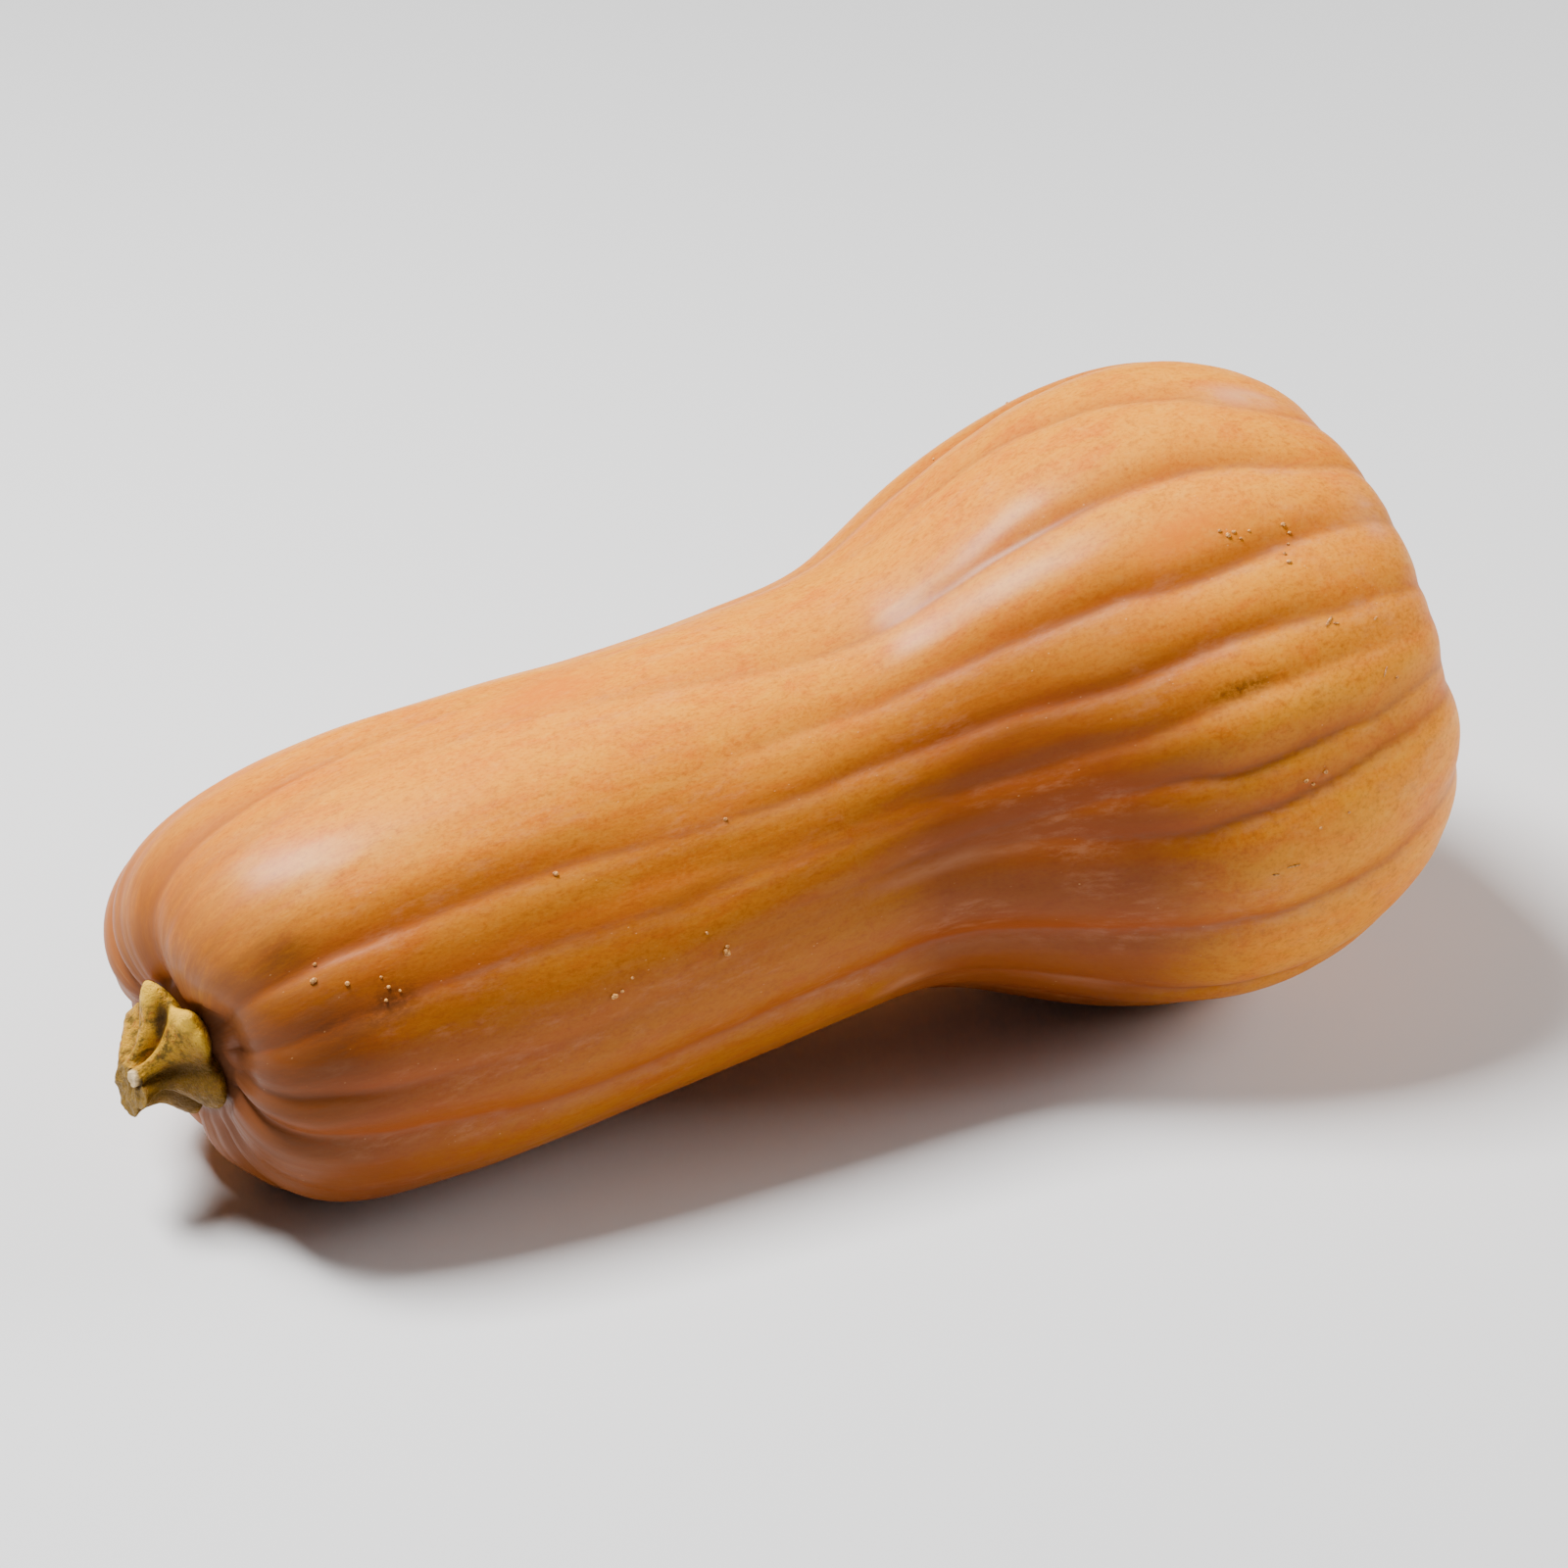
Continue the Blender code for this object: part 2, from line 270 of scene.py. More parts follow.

# Painted shade darkens one side; its middle is at this angle, and it fades with the turn away from it.
UNDER_ANGLE = 112.0
UNDER_FACING = (-0.1, 0.9)
# The painted shade is a share everywhere, more at the waist and the stem end, and fades out on the bulb.
LOW_SHADE_SHARE = 0.72
LOW_SHADE_AT_WAIST = 0.6
LOW_SHADE_WAIST_LENGTH = 0.020
LOW_SHADE_AT_STEM = 0.35
LOW_SHADE_STEM_LENGTH = 0.045
LOW_SHADE_GOES = (0.178, 0.206)

# How far colour reaches: painted shade in the hollow, mauve and painted shade along the shoulder round it,
# and cork over the blossom scar.
HOLLOW_RADIUS = 0.021
SHOULDER_LENGTH = 0.020
SCAR_CORK_RADIUS = 0.0055

# The stem's colour: depth and height at which a pit's painted shade or a knob's painted highlight is full,
# the radius half way down from which a crest's painted highlight starts and how much further it is full,
# the side darkened by painted shade, and the edge of the cut.
FULL_PIT = 0.0020
FULL_KNOB = 0.0018
CREST_FROM = 0.0046
CREST_SPAN = 0.0035
STEM_LOW_ANGLE = 118.0
STEM_LOW_FACING = (0.1, 0.95)
CUT_EDGE = 0.03

# Patches of other colour and of painted shade: station, angle, half length, half width.
PATCHES = {
    # Painted shade along furrows.
    "furrow_shade_patch": ((0.0315, 66, 0.0050, 0.0036), (0.0270, 68, 0.0026, 0.0020), (0.198, 61, 0.0060, 0.0016)),
    "bloom": ((0.2385, 36, 0.0036, 0.0050), (0.2285, 1, 0.0080, 0.0036), (0.1410, 84, 0.0140, 0.0016),
              (0.1335, 124, 0.0060, 0.0030), (0.1660, 132, 0.0070, 0.0022), (0.2120, 250, 0.0090, 0.0050),
              (0.0900, 205, 0.0120, 0.0040)),
    # Painted shade on flanks at the stem end.
    "flank_shade": ((0.0185, 68, 0.0085, 0.0072), (0.0170, 41, 0.0050, 0.0040)),
    "glow": ((0.1990, 31, 0.0095, 0.0042), (0.0840, -4, 0.0100, 0.0060), (0.1140, 300, 0.0130, 0.0060)),
}

# Corky marks: station, angle, length, width, and how far the long side is turned from the axis.
NODULES = (
    (0.020, 52.5, 0.0013, 0.0011, 0),
    (0.0215, 48.5, 0.0008, 0.0006, 0),
    (0.0252, 57, 0.0009, 0.0008, 0),
    (0.0305, 65, 0.0007, 0.0006, 0),
    (0.0318, 62, 0.0008, 0.0006, 0),
    (0.0335, 64, 0.0006, 0.0005, 0),
    (0.0312, 59, 0.0005, 0.0005, 0),
    (0.068, 50, 0.0011, 0.0008, 20),
    (0.095, 84, 0.0016, 0.0012, 60),
    (0.0953, 82.4, 0.0008, 0.0006, 0),
    (0.092, 77, 0.0007, 0.0005, 60),
    (0.072, 84, 0.0013, 0.0011, 0),
    (0.0736, 83.4, 0.0007, 0.0006, 0),
    (0.076, 81, 0.0006, 0.0005, 0),
    (0.102, 51, 0.0008, 0.0006, 0),
    (0.2052, 33.0, 0.0008, 0.0006, 0),
    (0.2064, 34.2, 0.0010, 0.0009, 0),
    (0.2077, 34.0, 0.0009, 0.0007, 0),
    (0.2086, 35.4, 0.0006, 0.0005, 0),
    (0.2108, 34.6, 0.0006, 0.0005, 0),
    (0.2182, 35.2, 0.0011, 0.0008, 0),
    (0.2190, 36.8, 0.0008, 0.0006, 0),
    (0.2178, 38.8, 0.0006, 0.0005, 0),
    (0.2160, 40.4, 0.0007, 0.0006, 0),
    (0.2158, 42.2, 0.0010, 0.0008, 0),
    (0.2190, 54.6, 0.0026, 0.0005, -35),
    (0.2202, 55.4, 0.0012, 0.0004, 20),
    (0.2290, 57, 0.0012, 0.0004, -25),
    (0.2275, 67, 0.0024, 0.0004, -50),
    (0.2300, 69, 0.0009, 0.0005, 0),
    (0.2060, 81, 0.0010, 0.0007, 0),
    (0.2075, 82.2, 0.0008, 0.0006, 0),
    (0.2104, 80.6, 0.0009, 0.0008, 0),
    (0.2132, 89, 0.0007, 0.0005, 0),
    (0.2070, 90, 0.0007, 0.0005, 0),
    (0.2010, 96, 0.0028, 0.0004, 0),
    (0.1976, 97, 0.0015, 0.0004, 10),
)
# Scattered marks: how many, then the least and most of each value. A crowding under 1 draws them
# towards the blossom end.
SCATTERED_NODULES = 26
SCATTERED_ALONG = (0.08, 0.93)
SCATTERED_CROWDING = 0.75
SCATTERED_SIZES = (0.0005, 0.0011)
SCATTERED_ANGLES = (200, 335)
SCATTERED_SLIMNESS = (0.5, 0.9)
SCATTERED_TURNS = (-60, 60)
NODULE_SUNK = 0.35
NODULE_HEIGHT = 0.45
NODULE_LUMPS = 0.22
NODULE_LUMP_SIZE = 0.8
NODULE_LUMP_STEP = 7

# ---------------------------------------------------------------- the camera and the studio

CAMERA_ELEVATION = 30.0
CAMERA_TURN = 25.73
CAMERA_DISTANCE = 1.2
CAMERA_LENS = 146.4
CAMERA_SENSOR = 36
CAMERA_AIM_FROM_CENTRE = Vector((0.0068, 0.0049, -0.0064))

# Softboxes: name, place, width, depth, watts, and whether the gloss shows them.
SOFTBOXES = (
    ("overhead_softbox", (-0.33, 0.19, 0.97), 0.28, 0.42, 27.0, True),
    ("side_softbox", (1.10, -0.27, 0.50), 0.60, 0.62, 14.5, False),
)
SKY_STRENGTH = 0.055
FLOOR_SIZE = 40
FLOOR_GREY = 0.76

# ---------------------------------------------------------------- curves and noise


def spline(knots, values, at, first=None, last=None):
    """Cubic spline through the knots; an end with no slope given is left free."""
    x = np.asarray(knots, float)
    y = np.asarray(values, float)
    count = len(x)
    step = np.diff(x)
    rise = np.diff(y) / step
    system = np.zeros((count, count))
    right = np.zeros(count)
    for i in range(1, count - 1):
        system[i, i - 1 : i + 2] = (1 / step[i - 1], 2 / step[i - 1] + 2 / step[i], 1 / step[i])
        right[i] = 3 * (rise[i - 1] / step[i - 1] + rise[i] / step[i])
    system[0, :2] = (1, 0) if first is not None else (2, 1)
    right[0] = first if first is not None else 3 * rise[0]
    system[-1, -2:] = (0, 1) if last is not None else (1, 2)
    right[-1] = last if last is not None else 3 * rise[-1]
    slope = np.linalg.solve(system, right)
    i = np.clip(np.searchsorted(x, at, side="right") - 1, 0, count - 2)
    u = (at - x[i]) / step[i]
    return (
        (1 + 2 * u) * (1 - u) ** 2 * y[i]
        + u * (1 - u) ** 2 * step[i] * slope[i]
        + u**2 * (3 - 2 * u) * y[i + 1]
        - u**2 * (1 - u) * step[i] * slope[i + 1]
    )


def smooth_step(value, low, high):
    u = np.clip((value - low) / (high - low), 0, 1)
    return u * u * (3 - 2 * u)


def turned(angle):
    """Angles in degrees, brought into -180..180."""
    return (angle + 180) % 360 - 180


def lattice_noise(points, sizes, seed):
    """Smooth noise from -1 to 1 at points, with a cell of the given size along each axis."""
    cells = 32
    table = np.random.RandomState(seed).uniform(-1, 1, (cells, cells, cells))
    scaled = points / np.asarray(sizes)
    base = np.floor(scaled).astype(int)
    within = scaled - base
    within = within * within * (3 - 2 * within)
    total = np.zeros(len(points))
    for corner in itertools.product((0, 1), repeat=3):
        weight = np.prod(np.where(corner, within, 1 - within), axis=1)
        x, y, z = ((base + corner) % cells).T
        total += weight * table[x, y, z]
    return total


def along_noise(station, size, lane):
    """Smooth noise from -1 to 1 that changes along the fruit only, different in each lane."""
    stops = np.linspace(0, LENGTH, num=800)
    lanes = np.full_like(stops, lane)
    values = lattice_noise(np.stack((stops, lanes, lanes), axis=-1), (size, 1, 1), SEED + 60)
    return np.interp(station, stops, values)


# ---------------------------------------------------------------- fruit


def outline(share):
    """Station and radius of the smooth outline, where share runs from 0 at the stem to 1 at the scar."""
    points = np.array(OUTLINE)
    run = np.concatenate(([0], np.cumsum(np.hypot(*np.diff(points, axis=0).T))))
    at = share * run[-1]
    station = spline(run, points[:, 0], at, first=0, last=0)
    radius = spline(run, points[:, 1], at, first=1, last=-1)
    return station, np.maximum(radius, 0)


def outline_normal(share):
    """Outward direction of the smooth outline, as its parts along the axis and away from it."""
    nudge = 1e-4
    after = outline(np.minimum(share + nudge, 1))
    before = outline(np.maximum(share - nudge, 0))
    along = after[0] - before[0]
    out = after[1] - before[1]
    length = np.hypot(along, out)
    return -out / length, along / length


def all_furrows():
    """The listed furrows, and the evenly spaced ones after them."""
    draw = random.Random(SEED)
    spacing = (RULED_TO - RULED_FROM) / (RULED_FURROWS + 1)
    furrows = list(FURROWS)
    for i in range(RULED_FURROWS):
        middle = RULED_FROM + spacing * (i + 1)
        angles = [middle + draw.uniform(-RULED_WANDER, RULED_WANDER) for _ in FURROW_STATIONS]
        depths = RULED_DEPTHS_LONG if i % 2 else RULED_DEPTHS_SHORT
        strength = draw.uniform(*RULED_STRENGTHS)
        furrows.append((angles, [d * strength for d in depths], RULED_HALF_WIDTH, RULED_HALF_WIDTH, 0.0))
    return furrows


def furrow_floor(lane, angles, station, inside):
    """Angle of a furrow's floor, which wavers differently in each lane."""
    floor = spline(FURROW_STATIONS, angles, inside)
    for wave, degrees in CREASE_WAVES:
        floor = floor + degrees * along_noise(station, wave, lane)
    return floor


def furrow_colours(across, depth):
    """How strong a furrow's shade, line and haze are at each point."""
    strength = np.clip(depth / FULL_STRENGTH_DEPTH, 0, 1)
    shade = strength / np.cosh(across / np.where(across < 0, SHADE_ABOVE, SHADE_BELOW))
    line = strength * np.exp(-((across / LINE_HALF_WIDTH) ** 2))
    haze = strength * np.exp(-(((across - HAZE_DISTANCE) / HAZE_HALF_WIDTH) ** 2))
    return shade, line, haze


def relief(station, radius, angle):
    """Height of the skin over the smooth outline, and the strength of the colours that go with it."""
    inside = np.clip(station, FURROW_STATIONS[0], FURROW_STATIONS[-1])
    narrowing = np.clip(radius / FULL_WIDTH_RADIUS, LEAST_NARROWING, 1)
    height = np.zeros_like(station)
    colours = np.zeros((3, len(station)))
    for lane, (angles, depths, above, below, lip) in enumerate(all_furrows()):
        depth = np.maximum(spline(FURROW_STATIONS, depths, inside), 0)
        floor = furrow_floor(lane, angles, station, inside)
        across = np.radians(turned(angle - floor)) * radius / narrowing
        height -= depth / np.cosh(across / np.where(across < 0, above, below))
        swing = CREASE_SWING * along_noise(station, CREASE_SWING_LENGTH, lane + CREASE_LANE)
        crease = CREASE_SHARE * depth * (CREASE_MEAN + swing)
        height -= crease / np.cosh(across / np.where(across < 0, CREASE_ABOVE, CREASE_BELOW))
        height += lip * depth / max(depths) * np.exp(-(((across - LIP_DISTANCE) / LIP_HALF_WIDTH) ** 2))
        colours = np.maximum(colours, furrow_colours(across, depth))
    for turns, waves, swell in SWELLS:
        phase = turns * np.radians(angle) + waves * 2 * math.pi * station / LENGTH
        height += swell * np.sin(phase)
    height, fade, shadowed = with_ends(height, station, radius, angle)
    valley, line, haze = colours * fade
    return height, {"valley": valley, "line": line, "haze": haze, "seat": shadowed}


def with_ends(height, station, radius, angle):
    """The relief with the moat and the scar, how far the furrows last, and the shadow round the stem."""
    at_scar = station > LENGTH / 2
    full_radius = np.where(at_scar, BLOSSOM_FULL_RADIUS, FURROWS_FULL_RADIUS)
    fade = smooth_step(radius, np.where(at_scar, SCAR_RADIUS, FURROWS_FROM_RADIUS), full_radius)
    beside_stem = radius - stem_radii(angle)[:, 2]
    moat = ~at_scar * np.exp(-(((beside_stem - MOAT_DISTANCE) / MOAT_HALF_WIDTH) ** 2))
    ring = np.exp(-(((radius - SCAR_RADIUS / 2) / (SCAR_RADIUS / 2)) ** 2))
    nub = np.exp(-((radius / SCAR_NUB_RADIUS) ** 2))
    height = height * fade + at_scar * (SCAR_NUB * nub - SCAR_DEPTH * ring) - MOAT_DEPTH * moat
    shadowed = ~at_scar * (1 - smooth_step(beside_stem, 0.0, SEAT_SHADOW_WIDTH))
    return height, fade, shadowed


def cut_back(radius, angle):
    """How much further in the stem end lies, on the side where it falls away."""
    turned_away = (1 + np.cos(np.radians(angle - CUT_BACK_ANGLE))) / 2
    reach = smooth_step(radius, *CUT_BACK_COMES) * (1 - smooth_step(radius, *CUT_BACK_GOES))
    return CUT_BACK * turned_away**CUT_BACK_NARROWNESS * reach


def grain_space(station, radius, angle):
    """Points of a straight cylinder, where streaks run along X; its blossom end is closed by a disc."""
    turn = np.radians(angle)
    closing = np.where(station > LENGTH / 2, np.tanh(2 * radius / BLOSSOM_GRAIN_RADIUS), 1)
    reach = GRAIN_RADIUS * closing
    return np.stack((station, -reach * np.sin(turn), reach * np.cos(turn)), axis=-1)


def bent(station, radius, angle):
    """Points of the fruit's space, with the drooping stem end and the lifted waist."""
    turn = np.radians(angle)
    side = -radius * np.sin(turn)
    up = radius * np.cos(turn)
    droop_side = -math.sin(math.radians(DROOP_ANGLE))
    droop_up = math.cos(math.radians(DROOP_ANGLE))
    reach = np.clip(1 - station / DROOP_LENGTH, 0, None)
    lean = np.arctan(2 * DROOP / DROOP_LENGTH * reach)
    lift = WAIST_LIFT * np.exp(-(((station - WAIST_STATION) / WAIST_SPAN) ** 2))
    along = side * droop_side + up * droop_up
    shift = along * (np.cos(lean) - 1) + DROOP * reach**2 - lift
    return np.stack(
        (station + along * np.sin(lean), side + shift * droop_side, up + shift * droop_up), axis=-1
    )


def crowded(share):
    """Shares moved so that the rings lie closer together towards both ends."""
    return share - END_CROWDING * np.sin(2 * math.pi * share) / (2 * math.pi)


def fruit_surface(share, angle):
    """The skin's points, and its measures at each for the material."""
    station, radius = outline(share)
    along, out = outline_normal(share)
    height, measures = relief(station, radius, angle)
    grain = grain_space(station, radius, angle)
    fade = smooth_step(radius, FURROWS_FROM_RADIUS, FURROWS_FULL_RADIUS)
    for i, (size_along, size_across, lump) in enumerate(SKIN_LUMPS):
        height += fade * lump * lattice_noise(grain, (size_along, size_across, size_across), SEED + i)
    in_by = cut_back(radius, angle) * (station < LENGTH / 2)
    points = bent(station + along * height + in_by, radius + out * height, angle)
    measures.update(station=station, radius=radius, grain=grain)
    return points, measures


def resting_tilt(points):
    """Turn about Y that brings the stem end and the bulb to the same lowest level."""
    middle = LENGTH / 2
    rounds = 10
    tilt = 0.0
    for _ in range(rounds):
        height = points[:, 0] * math.sin(tilt) + points[:, 2] * math.cos(tilt)
        neck = np.where(points[:, 0] < middle, height, np.inf).argmin()
        bulb = np.where(points[:, 0] > middle, height, np.inf).argmin()
        tilt += (height[neck] - height[bulb]) / (points[bulb, 0] - points[neck, 0])
    return tilt


class Rest:
    """How the fruit's space lies in the frame: a tilt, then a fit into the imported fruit's box."""

    def __init__(self, fruit_points):
        tilt = resting_tilt(fruit_points)
        self.turn = np.array(Matrix.Rotation(-tilt, 3, "Y"))
        points = fruit_points @ self.turn.T
        low, high = (np.array(corner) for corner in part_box("fruit"))
        low = low + (END_CLEARANCE, SKIN_CLEARANCE, -SETTLE)
        high = high - SKIN_CLEARANCE
        self.scale = (high - low) / np.ptp(points, axis=0)
        self.shift = low - points.min(axis=0) * self.scale

    def laid(self, points):
        placed = points @ self.turn.T * self.scale + self.shift
        placed[:, 2] = np.maximum(placed[:, 2], 0)
        return placed


def closed_grid(name, sides, rings):
    """A ball of rings between two poles, and each vertex's share from pole to pole and its angle."""
    inner = np.arange(1, rings)
    share = np.concatenate(([0], np.repeat(inner, sides) / rings, [1]))
    angle = np.concatenate(([0], np.tile(np.arange(sides) * 360 / sides, rings - 1), [0]))
    column = np.arange(sides)
    following = (column + 1) % sides
    last = len(share) - 1
    faces = [(0, 1 + b, 1 + a) for a, b in zip(column, following)]
    for ring in range(rings - 2):
        near = 1 + ring * sides
        far = near + sides
        faces += zip(near + column, near + following, far + following, far + column)
    outer = last - sides
    faces += [(last, outer + a, outer + b) for a, b in zip(column, following)]
    mesh = bpy.data.meshes.new(name)
    mesh.from_pydata(np.zeros((len(share), 3)), [], faces)
    return mesh, share, angle


def set_points(mesh, points):
    mesh.vertices.foreach_set("co", np.asarray(points, np.float32).ravel())
    mesh.update()
    mesh.shade_smooth()


def set_measure(mesh, name, values):
    """Keeps a number or a vector for each vertex, for the materials to read."""
    values = np.asarray(values, np.float32)
    kind, field = ("FLOAT_VECTOR", "vector") if values.ndim == 2 else ("FLOAT", "value")
    mesh.attributes.new(name, kind, "POINT").data.foreach_set(field, values.ravel())


def add_piece(name, mesh, material):
    """Puts a mesh in the scene as a piece that rides on the one body."""
    piece = bpy.data.objects.new(name, mesh)
    bpy.context.scene.collection.objects.link(piece)
    mesh.materials.append(material)
    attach(piece, "root")
    return piece


def patch_measure(name, station, radius, angle):
    """How far each point lies in a kind of patch, from 0 to 1."""
    measure = np.zeros_like(station)
    for patch_station, patch_angle, half_length, half_width in PATCHES[name]:
        along = (station - patch_station) / half_length
        across = np.radians(turned(angle - patch_angle)) * radius / half_width
        measure = np.maximum(measure, np.exp(-(along**2) - across**2))
    return measure


def colour_measures(station, radius, angle):
    """Where the skin's colour and its painted shade change, apart from the furrows: by name, from 0 to 1
    at each point.
    """
    near_stem = station < LENGTH / 2
    facing = np.cos(np.radians(turned(angle - UNDER_ANGLE)))
    low_shade = LOW_SHADE_SHARE + LOW_SHADE_AT_WAIST * np.exp(
        -(((station - WAIST_STATION) / LOW_SHADE_WAIST_LENGTH) ** 2)
    )
    at_stem = LOW_SHADE_AT_STEM * np.exp(-((station / LOW_SHADE_STEM_LENGTH) ** 2))
    low_shade += at_stem - LOW_SHADE_SHARE * smooth_step(station, *LOW_SHADE_GOES)
    measures = {name: patch_measure(name, station, radius, angle) for name in PATCHES}
    # Painted shade on the lower side, deepest at the waist and the stem end.
    measures["under"] = np.clip(low_shade * smooth_step(facing, *UNDER_FACING), 0, 1)
    # Painted shade in the stem-end hollow.
    measures["hollow"] = near_stem * np.exp(-((radius / HOLLOW_RADIUS) ** 4))
    measures["shoulder"] = np.exp(-((np.maximum(station, 0) / SHOULDER_LENGTH) ** 2)) * near_stem
    measures["scar"] = ~near_stem * np.exp(-((radius / SCAR_CORK_RADIUS) ** 4))
    return measures


def make_fruit(material):
    """The skin, and how it came to rest, which places the other pieces."""
    mesh, share, angle = closed_grid("fruit_skin", FRUIT_SIDES, FRUIT_RINGS)
    points, measures = fruit_surface(crowded(share), angle)
    rest = Rest(points)
    set_points(mesh, rest.laid(points))
    for name in ("grain", "valley", "line", "haze", "seat"):
        set_measure(mesh, name, measures[name])
    for name, values in colour_measures(measures["station"], measures["radius"], angle).items():
        set_measure(mesh, name, values)
    piece = add_piece("fruit_skin", mesh, material)
    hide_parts("fruit")
    return rest


# ---------------------------------------------------------------- corky marks


def share_at(station):
    """Share along the outline at each station, for stations away from its two ends."""
    shares = np.linspace(start=0.15, stop=0.995, num=2000)
    return np.interp(station, outline(shares)[0], shares)


def skin_frames(rest, station, angle):
    """Points of the laid skin, each with its lengthwise, sideways and outward directions."""
    share = share_at(station)
    share_nudge = 0.001
    angle_nudge = 0.5
    nudged = ((share, angle), (share + share_nudge, angle), (share, angle + angle_nudge))
    here, further, round_it = (rest.laid(fruit_surface(*place)[0]) for place in nudged)
    along = further - here
    along /= np.linalg.norm(along, axis=1, keepdims=True)
    out = np.cross(along, round_it - here)
    out /= np.linalg.norm(out, axis=1, keepdims=True)
    return here, along, np.cross(out, along), out


def scattered_nodules():
    """Small corky dots over the sides that the listed ones leave bare, more near the blossom end."""
    draw = random.Random(SEED + 7)
    marks = []
    for _ in range(SCATTERED_NODULES):
        station = LENGTH * draw.uniform(*SCATTERED_ALONG) ** SCATTERED_CROWDING
        length = draw.uniform(*SCATTERED_SIZES)
        angle = draw.uniform(*SCATTERED_ANGLES)
        width = length * draw.uniform(*SCATTERED_SLIMNESS)
        marks.append((station, angle, length, width, draw.uniform(*SCATTERED_TURNS)))
    return marks


def ball_points():
    """Points and faces of a ball of radius 1."""
    shape = bmesh.new()
    bmesh.ops.create_icosphere(shape, subdivisions=3, radius=1)
    points = np.array([vertex.co for vertex in shape.verts])
    faces = np.array([[vertex.index for vertex in face.verts] for face in shape.faces])
    shape.free()
    return points, faces


def make_nodules(rest, material):
    """All corky marks as one piece: flattened lumpy balls, partly sunk in the skin."""
    station, angle, length, width, turn = np.array(NODULES + tuple(scattered_nodules())).T
    here, along, side, out = skin_frames(rest, station, angle)
    swing = np.radians(turn)[:, None]
    first = along * np.cos(swing) + side * np.sin(swing)
    second = np.cross(out, first)
    tall = NODULE_HEIGHT * width[:, None]
    ball, ball_faces = ball_points()
    lump_sizes = (NODULE_LUMP_SIZE, NODULE_LUMP_SIZE, NODULE_LUMP_SIZE)
    points = []
    faces = []
    for i in range(len(station)):
        lumps = lattice_noise(ball + NODULE_LUMP_STEP * i, lump_sizes, SEED + 12)
        lumpy = ball * (1 + NODULE_LUMPS * lumps)[:, None]
        to_skin = np.stack((first[i] * length[i] / 2, second[i] * width[i] / 2, out[i] * tall[i]))
        points.append(lumpy @ to_skin + here[i] - out[i] * tall[i] * NODULE_SUNK)
        faces.append(ball_faces + i * len(ball))
    mesh = bpy.data.meshes.new("corky_marks")
    mesh.from_pydata(np.concatenate(points), [], np.concatenate(faces).tolist())
    mesh.shade_smooth()
    add_piece("corky_marks", mesh, material)


# ---------------------------------------------------------------- stem


def stem_radii(angle):
    """Radius at the cut, half way down and at the foot, where ridges stand out of hollow flanks."""
    ridges = np.array(STEM_RIDGES, float)
    gap = turned(angle[:, None] - ridges[None, :, 0])
    before = np.where(gap >= 0, gap, gap + 360)
    after = np.where(gap < 0, -gap, 360 - gap)
    left = before.argmin(axis=1)
    right = after.argmin(axis=1)
    rows = np.arange(len(angle))
    span = before[rows, left] + after[rows, right]
    share = before[rows, left] / span
    nearest = np.where((share < 0.5)[:, None], ridges[left, 1:], ridges[right, 1:])
    crest = np.abs(np.cos(math.pi * share))[:, None] ** STEM_RIDGE_SHARPNESS
    return nearest * crest + np.array(STEM_FURROW) * (1 - crest)


def hollow_station(radius):
    """Station of the stem-end hollow's floor at each radius."""
    stations, radii = outline(np.linspace(0, HOLLOW_SHARE, num=200))
    return np.interp(radius, radii, stations)


def smooth_side(down, radii):
    """Radius of the stem's side without its knobs, from the cut, the middle and the foot."""
    cut, middle, foot = radii
    knots = (0, 0.5, STEM_FOOT_SHARE, 1)
    side_radius = np.zeros_like(down)
    for pull, radius in zip(np.eye(len(knots)), (cut, middle, foot, foot * STEM_TUCK)):
        side_radius += spline(knots, pull, down) * radius
    return side_radius


def stem_side(down, angle):
    """Radius of the stem's side, and its pits below zero, its knobs above, and the space of its fibres."""
    side_radius = smooth_side(down, stem_radii(angle).T)
    on_side = smooth_step(down, *STEM_SIDE_COMES) * (1 - smooth_step(down, *STEM_SIDE_GOES))
    dip = np.zeros_like(down)
    rise = np.zeros_like(down)
    for knob_angle, knob_down, round_size, along_size, knob in STEM_KNOBS:
        around = np.radians(turned(angle - knob_angle)) * side_radius / round_size
        along = (down - knob_down) * STEM_SIDE_LENGTH / along_size
        bump = knob * np.exp(-(around**2) - along**2)
        side_radius += on_side * bump
        dip += on_side * np.minimum(bump, 0)
        rise += on_side * np.maximum(bump, 0)
    turn = np.radians(angle)
    fibres = np.stack(
        (down * STEM_SIDE_LENGTH, side_radius * np.sin(turn), side_radius * np.cos(turn)), axis=-1
    )
    for i, (size_along, size_across, height) in enumerate(STEM_GRAIN):
        sizes = (size_along, size_across, size_across)
        side_radius += on_side * height * lattice_noise(fibres, sizes, SEED + 30 + i)
    return side_radius, {"dip": dip, "rise": rise, "fibres": fibres}


